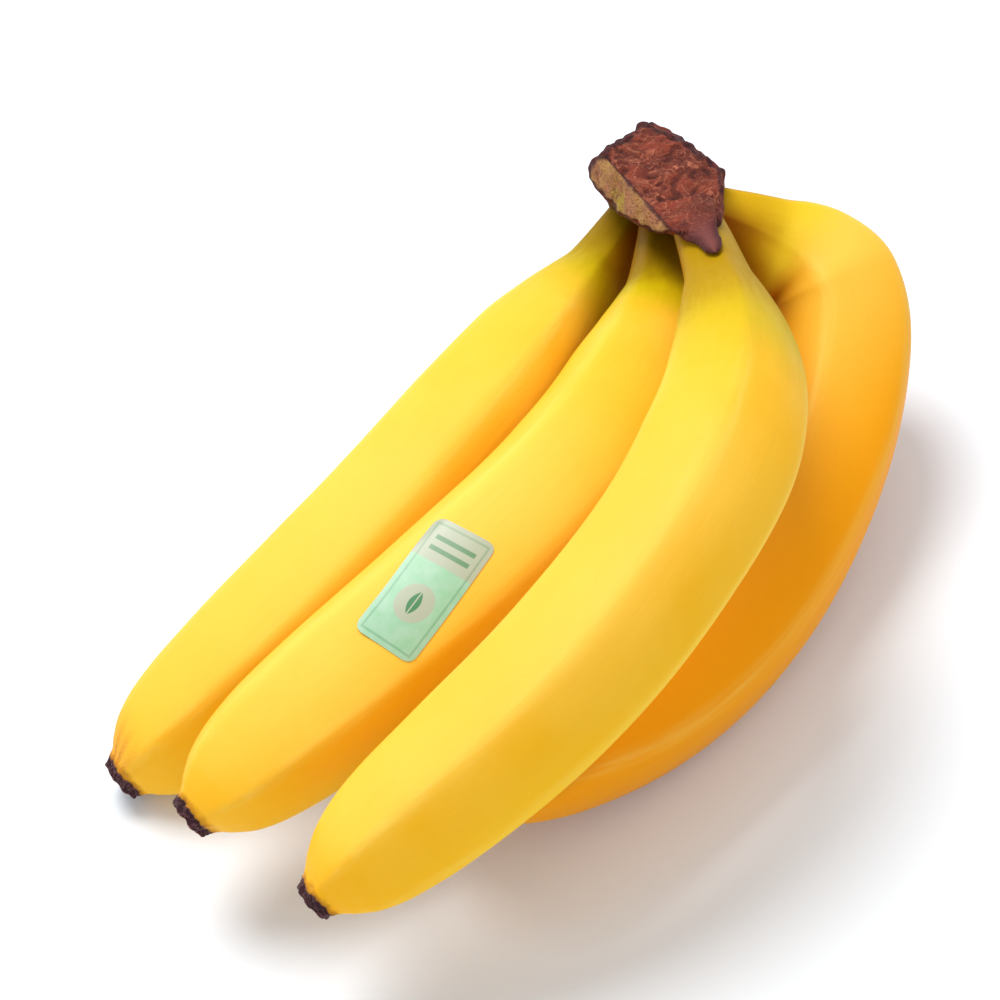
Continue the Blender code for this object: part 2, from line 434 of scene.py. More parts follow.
@dataclass(frozen=True)
class PeelFinish:
    """Ripe peel: yellow with deeper patches, green at the neck, warm and then black at the tip, with painted
    highlight on top and painted shade below and between fingers.

    Attributes:
        name: Name of the material.
        light: Palest yellow.
        deep: Yellow of the patches.
        cloud: Yellow of the faint clouds.
        hair: Colour of the finest lines.
        ridge: Pale yellow along the ridges, a painted highlight.
        pale: Pale yellow of the parts that face up, a painted highlight.
        under: Deeper yellow of the sides that face down, a painted shade.
        crease_shade: Painted shade colour on the skin beside a neighbour.
        neck: Olive colour of the neck beside the crown, its darkness partly a painted shade under the crown.
        greenish: Colour between the neck and the yellow body.
        warm: Colour towards the tip.
        speck: Colour of the few brown specks.
        bruise: Colour of the bruise beside the tip.
        collar: Brown ring where the dried stub begins.
        stub: Colour of the dried stub.
        thread: Colour of the threads on the stub.
        neck_strength: How far the neck takes its own colour.
        warm_strength: How far the tip takes its own colour.
        crease_strength: How far the skin beside a neighbour takes the painted shade colour.
        low_shade_strength: How far the parts near the table take the colour of the undersides, a painted
            shade.
        stain: How dark the bruise beside the tip is.
        shift: Where the patterns of this finger start.
    """

    name: str
    light: Tone = (252, 194, 54)
    deep: Tone = (250, 182, 18)
    cloud: Tone = (246, 184, 14)
    hair: Tone = (232, 168, 30)
    ridge: Tone = (255, 222, 110)
    pale: Tone = (255, 208, 98)
    under: Tone = (255, 198, 0)
    crease_shade: Tone = (160, 90, 0)
    neck: Tone = (136, 102, 2)
    greenish: Tone = (204, 176, 8)
    warm: Tone = (243, 160, 4)
    speck: Tone = (134, 84, 22)
    bruise: Tone = (196, 104, 14)
    collar: Tone = (150, 84, 22)
    stub: Tone = (58, 34, 38)
    thread: Tone = (118, 88, 92)
    neck_strength: float = 0.8
    warm_strength: float = 0.2
    low_shade_strength: float = 0.0
    crease_strength: float = 0.75
    stain: float = 0.0
    shift: float = 0.0

    def build(self, patterns: Patterns) -> bpy.types.Material:
        """Make the material.

        Args:
            patterns: Shared node groups.

        Returns:
            The material.
        """
        material, graph, shader = new_material(self.name)
        times, plus, minus, ramp, mark = graph.times, graph.plus, graph.minus, graph.ramp, graph.mark
        where = graph.put("Mapping", Vector=graph.place("straight"),
                          Location=(self.shift, 0.3, 0.7)).outputs[0]
        to_tip = mark("to_tip")
        streaks = graph.group(patterns.streaks, Vector=where, Lines=700.0)
        hairs = graph.group(patterns.streaks, Vector=where, Lines=2600.0)
        patches = graph.group(patterns.blotches, Vector=where, Size=26.0, Low=0.36, High=0.66)
        clouds = graph.group(patterns.blotches, Vector=where, Size=90.0, Low=0.35, High=0.70)
        threads = graph.group(patterns.fibres, Vector=where, Size=420.0, Width=0.07)
        ragged = graph.group(patterns.blotches, Vector=where, Size=420.0, Low=0.2, High=0.8)
        specks = graph.put("TexVoronoi", {"feature": "F1"}, Vector=where, Scale=110.0)
        dot = ramp(plus(specks.outputs["Distance"], times(clouds, 0.03)), 0.075, 0.03)
        rare = ramp(graph.put("SeparateColor", in0=specks.outputs["Color"]).outputs[0], 0.86, 0.90)
        reach = plus(mark("neck"), times(minus(streaks, 0.5), 0.12), times(minus(patches, 0.5), 0.16))
        greened = ramp(reach, 0.48, 1.0, 0.0, self.neck_strength)
        # Painted shade on the parts near the table.
        painted_low_shade = times(mark("low"), self.low_shade_strength)
        edge = minus(to_tip, times(ragged, 0.0012))
        dark = ramp(edge, 0.0009, 0.0004)
        colour = graph.over(
            graph.mix(times(patches, 0.75), tone(*self.light), tone(*self.deep)),
            (times(clouds, 0.12), self.cloud),
            # Painted highlight on the parts that face up.
            (times(mark("turned_up"), 0.5), self.pale),
            # Painted shade on the sides that face down and on the parts near the table.
            (graph.work("MAXIMUM", mark("turned_down"), painted_low_shade), self.under),
            (times(ramp(hairs, 0.40, 0.62), 0.05), self.hair),
            # Painted highlight along the ridges.
            (times(mark("ridge"), ramp(streaks, 0.35, 0.7, 0.08, 0.30)), self.ridge),
            (ramp(reach, 0.08, 0.62, 0.0, self.neck_strength), self.greenish),
            # Neck colour: the neck's own green, darkened partly as painted shade.
            (greened, self.neck),
            (ramp(plus(to_tip, times(streaks, 0.006)), 0.020, 0.001, 0.0, self.warm_strength), self.warm),
            # Painted shade where the skin lies beside a neighbour.
            (times(mark("crease_shade"), self.crease_strength), self.crease_shade),
            (times(dot, rare, 0.42), self.speck),
            (times(mark("bruise"), ramp(hairs, 0.35, 0.6, 0.55, 1.0), self.stain), self.bruise),
            (ramp(edge, 0.0024, 0.0006, 0.0, 0.7), self.collar),
        )
        stub = graph.mix(times(threads, 0.55), tone(*self.stub), tone(*self.thread))
        colour = graph.mix(dark, colour, stub)
        gloss = plus(ramp(streaks, 0.3, 0.7, 0.40, 0.50), times(greened, 0.10), times(dark, 0.12))
        fine = plus(times(streaks, 0.9), times(hairs, 0.35))
        height = plus(times(fine, minus(1.0, dark)), times(threads, dark, 3.0))
        graph.join(shader, Base_Color=colour, Roughness=gloss, Normal=graph.bump(height, 0.35, 0.00022),
                   Subsurface_Weight=0.14, Subsurface_Radius=(1.0, 0.50, 0.12), Subsurface_Scale=0.004,
                   Specular_IOR_Level=0.07)
        return material


@dataclass(frozen=True)
class CrownFinish:
    """Dried cut stalk: red-brown tangled fibres, black-purple edges and one paler fresh cut, with painted
    shade in its hollows.
    """

    name: str = "dried_crown"
    shade: Tone = (92, 38, 28)
    body: Tone = (130, 54, 36)
    # Paler fibre colour, laid on more strongly where the relief stands up, partly a painted highlight.
    thread: Tone = (186, 108, 80)
    edge: Tone = (58, 30, 38)
    cut: Tone = (172, 128, 76)
    cut_middle: Tone = (160, 136, 46)
    cut_pink: Tone = (164, 100, 80)
    cut_dots: Tone = (120, 74, 52)
    side: Tone = (128, 104, 30)
    spur: Tone = (70, 32, 38)
    spur_middle: Tone = (116, 62, 58)
    # Painted shade in the low places of the relief.
    hollow: Tone = (38, 18, 20)

    def build(self, patterns: Patterns) -> bpy.types.Material:
        """Make the material.

        Args:
            patterns: Shared node groups.

        Returns:
            The material.
        """
        material, graph, shader = new_material(self.name)
        times, plus, minus, ramp, mark = graph.times, graph.plus, graph.minus, graph.ramp, graph.mark
        where = graph.place("carved")
        relief = mark("relief")
        spur = mark("spur")
        threads = graph.group(patterns.fibres, Vector=where, Size=190.0, Width=0.055)
        fine = graph.group(patterns.fibres, Vector=where, Size=480.0, Width=0.09)
        patches = graph.group(patterns.blotches, Vector=where, Size=150.0, Low=0.38, High=0.64)
        dots = graph.group(patterns.blotches, Vector=where, Size=600.0, Low=0.55, High=0.66)
        streaks = graph.group(patterns.streaks, Vector=where, Lines=500.0)
        # Paler threads: the fibres' own colour, plus a painted highlight that grows where the relief stands
        # up.
        lit = graph.work("MAXIMUM", times(threads, 0.75), times(fine, 0.35))
        colour = graph.over(
            graph.mix(patches, tone(*self.shade), tone(*self.body)),
            (times(lit, ramp(relief, -0.5, 0.6, 0.3, 1.0)), self.thread),
            (times(mark("low"), ramp(streaks, 0.35, 0.65, 0.55, 1.0)), self.side),
        )
        cut = ramp(plus(mark("cut"), times(patches, 0.12)), 0.45, 0.62)
        fresh = graph.over(
            graph.mix(ramp(mark("cut_middle"), 0.2, 0.9, 0.0, 0.8), tone(*self.cut), tone(*self.cut_middle)),
            (times(patches, 0.7), self.cut_pink),
            (times(dots, 0.6), self.cut_dots),
        )
        broken = times(minus(1.0, patches), 0.5)
        worn = ramp(minus(mark("edge"), broken), 0.20, 0.80, 0.0, 0.75)
        colour = graph.over(graph.mix(cut, colour, fresh), (worn, self.edge))
        tongue = graph.mix(mark("spur_middle"), tone(*self.spur), tone(*self.spur_middle))
        # Painted shade: the low places of the relief darken towards near black.
        hollow = ramp(relief, -0.7, 0.0, 0.55, 0.0)
        colour = graph.over(graph.mix(spur, colour, tongue), (hollow, self.hollow))
        height = times(plus(times(threads, 1.0), times(fine, 0.5)), minus(1.0, times(spur, 0.8)))
        graph.join(shader, Base_Color=colour, Roughness=minus(0.80, times(spur, 0.10)),
                   Normal=graph.bump(height, 0.7, 0.0005), Specular_IOR_Level=0.2)
        return material


@dataclass(frozen=True)
class LabelFinish:
    """Printed paper: an off-white end with two rules, a mint body, a border and a leaf on a disc."""

    name: str = "printed_label"
    paper: Tone = (174, 181, 156)
    mint: Tone = (146, 196, 156)
    washed: Tone = (178, 206, 186)
    leaf: Tone = (64, 128, 78)
    fibre: Tone = (150, 160, 140)

    def build(self, patterns: Patterns) -> bpy.types.Material:
        """Make the material. Distances on the paper are in metres from its middle.

        Args:
            patterns: Shared node groups.

        Returns:
            The material.
        """
        material, graph, shader = new_material(self.name)
        times, plus, minus, ramp, size = graph.times, graph.plus, graph.minus, graph.ramp, graph.size
        where = graph.place("printed")
        along, across = graph.put("SeparateXYZ", in0=where).outputs[:2]
        aside = size(across)
        grain = graph.group(patterns.streaks, Vector=where, Lines=2400.0)
        wash = graph.group(patterns.blotches, Vector=where, Size=300.0, Low=0.3, High=0.7)
        mint = graph.mix(times(wash, 0.5), tone(*self.mint), tone(*self.washed))
        rules = ramp(size(minus(size(plus(along, 0.0088)), 0.0012)), 0.0006, 0.0004)
        rules = times(rules, ramp(aside, 0.0048, 0.0046), 0.8)
        inset = graph.work("MAXIMUM", minus(size(along), 0.0128), minus(aside, 0.0060))
        from_leaf = size(minus(along, 0.0038))
        disc = graph.work("SQRT", plus(times(from_leaf, from_leaf), times(aside, aside)))
        blade = plus(times(from_leaf, from_leaf, 170.0), aside)
        colour = graph.over(
            graph.mix(ramp(along, -0.0052, -0.0048), tone(*self.paper), mint),
            (rules, self.leaf),
            (times(ramp(size(inset), 0.0003, 0.0002), 0.35), self.leaf),
            (ramp(disc, 0.0042, 0.0040), self.paper),
            (times(ramp(blade, 0.00135, 0.00120), ramp(aside, 0.00012, 0.00018)), self.leaf),
            (times(ramp(grain, 0.4, 0.7), 0.06), self.fibre),
        )
        graph.join(shader, Base_Color=colour, Normal=graph.bump(grain, 0.2, 0.00005), Roughness=0.38)
        return material


@dataclass
class Place:
    """Turns and shifts the drawn bunch to where the frame has it.

    Attributes:
        turns: Turns about X and Y that set the drawn bunch down on the table.
        shift: Move that follows the turn.
    """

    turns: tuple[float, float] = (-1.8, 0.8)
    shift: Array = field(default_factory=lambda: np.zeros(3))

    def turn(self) -> Array:
        """Rotation matrix of the two turns."""
        return np.array(Euler((*(math.radians(a) for a in self.turns), 0.0)).to_matrix())

    def put(self, points: Array) -> Array:
        """Turn and shift drawn points."""
        return points @ self.turn().T + self.shift

    def settle(self, fingers: list["Finger"]) -> None:
        """Find the shift: the middles of the fingers' boxes meet the middles of the frame's.

        Args:
            fingers: Fingers whose nodes are in the frame.
        """
        gaps = []
        for finger in fingers:
            low, high = (np.array(corner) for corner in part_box(finger.lay.name))
            skin = self.put(finger.outline())
            gaps.append((low + high - skin.min(axis=0) - skin.max(axis=0)) / 2)
        self.shift = self.shift + np.mean(gaps, axis=0)


@dataclass(frozen=True)
class FingerLay:
    """Where a finger starts, where it heads, how it bends and how big it is.

    Attributes:
        name: Node that the finger stands for.
        root: Start of its middle line, in millimetres.
        heading: Turn of its start from straight ahead, in degrees.
        pitch: Rise of its start, in degrees.
        bend_side: Side towards which it bends, in degrees from below.
        turns: Turn at the neck, shoulder, belly and tip, in degrees.
        sideways: Swing out of the plane of the bend, in degrees.
        length_share: Length, as a share of the bunch's finger length.
        girth_share: Thickness, as a share of the bunch's finger girth.
        ridge_angle: Place of the first ridge round the finger, in degrees.
        shoulder: How far from the root the neck swells, as a share of the usual distance.
        cheek: Extra flesh on the inside of the neck's bend, in millimetres.
    """

    name: str
    root: tuple[float, float, float]
    heading: float
    pitch: float
    bend_side: float
    turns: tuple[float, float, float, float]
    sideways: float
    length_share: float
    girth_share: float
    ridge_angle: float
    shoulder: float = 1.0
    cheek: float = 0.0


@dataclass
class Finger:
    """One banana.

    Attributes:
        lay: Where it lies and how it bends.
        finish: Look of its peel.
        seed: Seed of its random draws.
        length: Length of a finger whose share is one.
        girth: Thickness of a finger whose share is one.
        root_width: Thickness where it leaves the crown.
        neck_width: Thickness of the neck.
        tip_width: Thickness of the dried tip.
        neck_station: Where the neck is thinnest, as a share of the length.
        ridges: Number of ridges, and of flats between them.
        crispness: How sharp the ridges are.
        flat_share: How flat the flats are, from a circle at 0 to a polygon at 1.
        green_span: Shares of the length where the green starts and is complete.
        highlight_span: Shares of the length where the painted highlight on the top starts and is complete.
        crease_reach: Distance from a neighbour at which the painted shade beside it ends.
        cheek_station: Middle of the extra flesh, as a share of the length.
        cheek_spread: Its spread along the finger, as a share of the length.
        cheek_angle: Side of the finger that it is on, in degrees.
        rows: Rings along the body.
        tip_from: Share of the length from which the rings are closer.
        tip_rows: Rings from there to the end.
        start_rows: Rings that close the root.
        cap_rows: Rings that close the tip.
        columns: Points round a ring.
        body_stations: Shares of the length at which the body is measured.
        body_shares: Thickness at those stations, as a share of the girth.
        turn_spans: Shares of the length over which each of the four turns happens.
    """

    lay: FingerLay
    finish: PeelFinish
    seed: int
    length: float = 190 * MM
    girth: float = 36 * MM
    root_width: float = 10.4 * MM
    neck_width: float = 12 * MM
    tip_width: float = 9.6 * MM
    neck_station: float = 0.05
    ridges: int = 5
    crispness: float = 13.0
    flat_share: float = 0.52
    green_span: tuple[float, float] = (0.30, 0.06)
    highlight_span: tuple[float, float] = (0.30, 0.55)
    crease_reach: float = 3.5 * MM
    cheek_station: float = 0.082
    cheek_spread: float = 0.043
    cheek_angle: float = 145
    rows: int = 210
    tip_from: float = 0.955
    tip_rows: int = 90
    start_rows: int = 6
    cap_rows: int = 25
    columns: int = 180
    body_stations: tuple[float, ...] = (0.12, 0.16, 0.20, 0.28, 0.42, 0.60, 0.75, 0.86, 0.915, 0.95,
                                        0.975, 0.987)
    body_shares: tuple[float, ...] = (0.43, 0.56, 0.69, 0.88, 0.99, 1.0, 0.96, 0.87, 0.77, 0.64,
                                      0.46, 0.345)
    turn_spans: tuple[tuple[float, float], ...] = ((0.0, 0.30), (0.12, 0.62), (0.42, 0.92),
                                                   (0.74, 1.04))

    def middle_line(self, u: Array) -> Array:
        """Middle of the finger: its heading turns towards one side by four eased angles in turn.

        Args:
            u: Shares of the length.

        Returns:
            Drawn points.
        """
        lay = self.lay
        heading, pitch, side = (math.radians(a) for a in (lay.heading, lay.pitch, lay.bend_side))
        ahead = np.array([math.sin(heading) * math.cos(pitch), -math.cos(heading) * math.cos(pitch),
                          math.sin(pitch)])
        right = np.array([math.cos(heading), math.sin(heading), 0.0])
        down = np.cross(right, ahead)
        down = down if down[2] < 0 else -down
        inward = math.cos(side) * down + math.sin(side) * right
        across = np.cross(ahead, inward)
        bend = np.zeros_like(u)
        for turn, (start, end) in zip(lay.turns, self.turn_spans):
            t = np.clip((u - start) / (end - start), 0, 1)
            bend = bend + math.radians(turn) * (t - np.sin(2 * math.pi * t) / (2 * math.pi))
        swing = math.radians(lay.sideways) * u
        direction = (np.outer(np.cos(bend) * np.cos(swing), ahead)
                     + np.outer(np.sin(bend) * np.cos(swing), inward) + np.outer(np.sin(swing), across))
        steps = (direction[1:] + direction[:-1]) / 2 * np.diff(u)[:, None]
        drawn = np.vstack((np.zeros(3), np.cumsum(steps, axis=0))) * lay.length_share * self.length
        return drawn + np.array(lay.root) * MM

    def spine(self) -> tuple[Array, ...]:
        """Middle line with its tangent and two sideways directions carried along without twist.

        Returns:
            Stations, points, tangents, upward directions and across directions.
        """
        fine = np.linspace(0, 1, 401)
        line = self.middle_line(fine)
        tangent = unit(np.gradient(line, axis=0))
        upward = np.zeros_like(tangent)
        carried = np.array([0.0, 0.0, 1.0])
        for k, ahead in enumerate(tangent):
            carried = unit(carried - ahead * (carried @ ahead))
            upward[k] = carried
        return fine, line, tangent, upward, np.cross(tangent, upward)

    def half_width(self, u: Array) -> Array:
        """Half the thickness at shares u of the length."""
        girth = self.girth * self.lay.girth_share
        swelling = (at * self.lay.shoulder for at in (self.neck_station, *self.body_stations[:4]))
        stations = (0.0, *swelling, *self.body_stations[4:], 1.0)
        widths = (self.root_width, self.neck_width, *(girth * share for share in self.body_shares),
                  self.tip_width)
        return curve_through(stations, widths, u) / 2

    def section(self, u: Array, angle: Array) -> Array:
        """Share of the half-width at an angle round the finger.

        Five flats face the directions f: r is the sum of max(0, cos(angle - f)) to the power p,
        to the power -1/p, which is a polygon with rounded corners. It is scaled to one at the
        corners and blended with a circle. Each flat leans a little its own way.

        Args:
            u: Shares of the length.
            angle: Angles round the finger.

        Returns:
            Shares, about one at the ridges.
        """
        draw = np.random.default_rng(self.seed)
        lean = np.radians(draw.uniform(-5, 5, self.ridges))
        reach = draw.uniform(0.985, 1.015, self.ridges)
        power = self.crispness
        total = np.zeros(np.broadcast(u, angle).shape)
        for k in range(self.ridges):
            facing = math.radians(self.lay.ridge_angle) + (k + 0.5) * 2 * math.pi / self.ridges + lean[k]
            wander = math.radians(3) * np.sin(2 * math.pi * (u * 1.3 + 0.17 * k))
            total = total + (np.clip(np.cos(angle - facing - wander), 0, None) / reach[k]) ** power
        corner = (2 * math.cos(math.pi / self.ridges) ** power) ** (-1 / power)
        polygon = total ** (-1 / power) / corner
        share = self.flat_share - 0.12 * eased(u, 0.26, 0.08) + 0.10 * eased(u, 0.84, 0.95)
        return 1 + share * (polygon - 1)

    def skin_points(self, u: Array, angle: Array, offset: Array | float = 0.0) -> Array:
        """Points of the skin at matching arrays of stations and angles.

        The cheek is exp(-((u - station) / spread) squared) times the square of the cosine of the
        angle from its side, where that is above zero.

        Args:
            u: Shares of the length; past one, the point moves on straight along the tip.
            angle: Angles round the finger.
            offset: Distance out from the skin.

        Returns:
            Drawn points.
        """
        fine, line, tangent, upward, across = self.spine()
        within = np.clip(u, 0, 1)
        at, ahead, up, side = (np.stack([np.interp(within, fine, values[:, k]) for k in range(3)], -1)
                               for values in (line, tangent, upward, across))
        along_cheek = np.exp(-((within - self.cheek_station) / self.cheek_spread) ** 2)
        cheek = along_cheek * np.clip(np.cos(angle - math.radians(self.cheek_angle)), 0, 1) ** 2
        radius = (self.half_width(within) * self.section(within, angle) + offset
                  + cheek * self.lay.cheek * MM)
        beyond = ((u - within) * self.length * self.lay.length_share)[..., None]
        return (at + ahead * beyond
                + radius[..., None] * (np.cos(angle)[..., None] * up + np.sin(angle)[..., None] * side))

    def outline(self) -> Array:
        """Coarse skin as a list of drawn points."""
        u, angle = np.meshgrid(np.linspace(0, 1, 81), np.linspace(0, 2 * math.pi, 90, endpoint=False),
                               indexing="ij")
        return self.skin_points(u, angle).reshape(-1, 3)

    def relief(self, u: Array, angle: Array, straight: Array) -> Array:
        """Small departures from the plain section: shallow dents, and a lumpy dried stub.

        Args:
            u: Shares of the length.
            angle: Angles round the finger.
            straight: Places on the finger laid out straight.

        Returns:
            Distances out from the skin.
        """
        stub = eased(u, 1 - 3.4 * MM / (self.length * self.lay.length_share), 1.0)
        dents = 0.16 * MM * rough_lumps(straight * np.array([0.5, 1, 1]), 13 * MM, self.seed, 2)
        knobs = 0.55 * MM * rough_lumps(straight, 2.6 * MM, self.seed + 40, 3)
        rim = 0.30 * MM * np.sin(7 * angle + self.seed) * stub
        return dents * (1 - stub) + knobs * stub + rim

    def build(self, place: Place, patterns: Patterns) -> bpy.types.Object:
        """Make the finger.

        Args:
            place: Where the bunch lies.
            patterns: Shared node groups.

        Returns:
            The piece.
        """
        real = self.length * self.lay.length_share
        body = np.concatenate((np.linspace(0, self.tip_from, self.rows),
                               np.linspace(self.tip_from, 1, self.tip_rows + 1)[1:]))
        cap = np.linspace(0, 1, self.cap_rows + 1)[1:]
        knots = (0, 0.08, 0.2, 0.32, 0.45, 0.6, 0.8, 1.0)
        draw_in = curve_through(knots, (1.0, 1.0, 0.93, 0.80, 0.66, 0.48, 0.24, 0.03), cap)
        stand_out = curve_through(knots, (0.0, 0.45, 0.95, 0.75, 0.25, 0.05, 0.45, 0.75), cap) * MM
        start = np.linspace(0.05, 1, self.start_rows)
        u_rows = np.concatenate((np.zeros(self.start_rows), body, np.ones(len(cap))))
        shrink = np.concatenate((start, np.ones(len(body)), draw_in))
        rise = np.concatenate((np.zeros(self.start_rows + len(body)), stand_out))
        angles = np.linspace(0, 2 * math.pi, self.columns, endpoint=False)
        u, angle = np.meshgrid(u_rows, angles, indexing="ij")
        radius = self.half_width(u)
        straight = np.stack((u * real + rise[:, None], radius * shrink[:, None] * np.cos(angle),
                             radius * shrink[:, None] * np.sin(angle)), -1)
        offset = self.relief(u, angle, straight)
        full = self.skin_points(u, angle, offset)
        centre = self.skin_points(u, angle, -radius * self.section(u, angle))
        ahead = unit(self.spine()[2][-1:])
        knobbly = (0.35 * MM * rough_lumps(straight, 1.8 * MM, self.seed + 60, 2)
                   * eased(rise, 0, 0.3 * MM)[:, None])
        rings = (centre + (full - centre) * shrink[:, None, None]
                 + ahead * (rise[:, None] + knobbly)[..., None])
        to_tip = (1 - u) * real - rise[:, None] - (1 - shrink[:, None]) * (u > 0.5) * radius
        turn = (angle - math.radians(self.lay.ridge_angle)) * self.ridges
        laid = place.put(rings)
        facing = self.rise_of_skin(laid)
        marks = {
            "straight": straight,
            "neck": eased(u, *self.green_span),
            # Painted shade: how far the skin faces down, weaker towards the tip.
            "turned_down": eased(facing, 0.62, -0.25) * (0.2 + 0.8 * eased(to_tip, 0, 55 * MM)),
            # Painted highlight: how far the skin faces up, weaker towards the neck.
            "turned_up": eased(facing, 0.45, 1.0) * (0.25 + 0.75 * eased(u, *self.highlight_span)),
            # Painted shade near the table: full at 26 mm high, none from 60 mm up.
            "low": eased(laid[..., 2], 60 * MM, 26 * MM),
            # Painted shade beside the neighbours, weaker on faces that look up near the neck.
            "crease_shade": (self.crease_shade(laid, place, u)
                       * np.maximum(eased(facing, 1.0, 0.55), eased(u, 0.2, 0.35))),
            "to_tip": to_tip,
            # Painted highlight along the ridges, fading at the neck and the tip.
            "ridge": np.clip(np.cos(turn), 0, 1) ** 6 * eased(u, 0.02, 0.2) * eased(u, 1.0, 0.94),
            "bruise": self.bruise(angle, to_tip),
        }
        obj = make_piece(self.lay.name + "_peel", [Skin(laid, marks)])
        obj.data.materials.append(self.finish.build(patterns))
        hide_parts(self.lay.name)
        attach(obj, BODY)
        return obj

    @staticmethod
    def rise_of_skin(rings: Array) -> Array:
        """How far the skin faces up: the third part of the cross product of its two directions.

        Args:
            rings: Points, as rows by columns by three.

        Returns:
            One where the skin faces straight up, minus one where it faces down.
        """
        round_it = np.roll(rings, -1, axis=1) - np.roll(rings, 1, axis=1)
        along_it = np.gradient(rings, axis=0)
        across = np.cross(round_it, along_it)
        return across[..., 2] / np.maximum(np.linalg.norm(across, axis=-1), 1e-12)

    def crease_shade(self, rings: Array, place: Place, u: Array) -> Array:
        """How close the skin is to its neighbours, as the strength of a painted shade: one where they touch,
        zero at its reach.

        The reach is crease_reach on the body and grows by 8 mm towards the neck.

        Args:
            rings: Points, as rows by columns by three.
            place: Where the bunch lies.
            u: Shares of the length.

        Returns:
            Strength of the painted shade.
        """
        closest = np.full(rings.shape[:-1], 1.0)
        for other in FINGERS:
            if other is self:
                continue
            fine, line = other.spine()[:2]
            for station, middle in list(zip(fine, place.put(line)))[::8]:
                radius = 0.96 * float(other.half_width(np.array([station]))[0])
                closest = np.minimum(closest, np.linalg.norm(rings - middle, axis=-1) - radius)
        reach = self.crease_reach + 8 * MM * eased(u, 0.30, 0.12)
        return eased(closest / reach, 1.0, 0.1)

    @staticmethod
    def bruise(angle: Array, to_tip: Array) -> Array:
        """Stain beside the tip that faces up: strongest on the top side, gone 13 mm away.

        Args:
            angle: Angles round the finger.
            to_tip: Distances to the tip.

        Returns:
            Strength of the stain, 0 to 1.
        """
        facing = np.clip(np.cos(angle - math.radians(20)), 0, 1) ** 3
        ticks = 0.7 + 0.3 * np.sin(17 * angle)
        return facing * ticks * eased(to_tip, 13 * MM, 1 * MM)


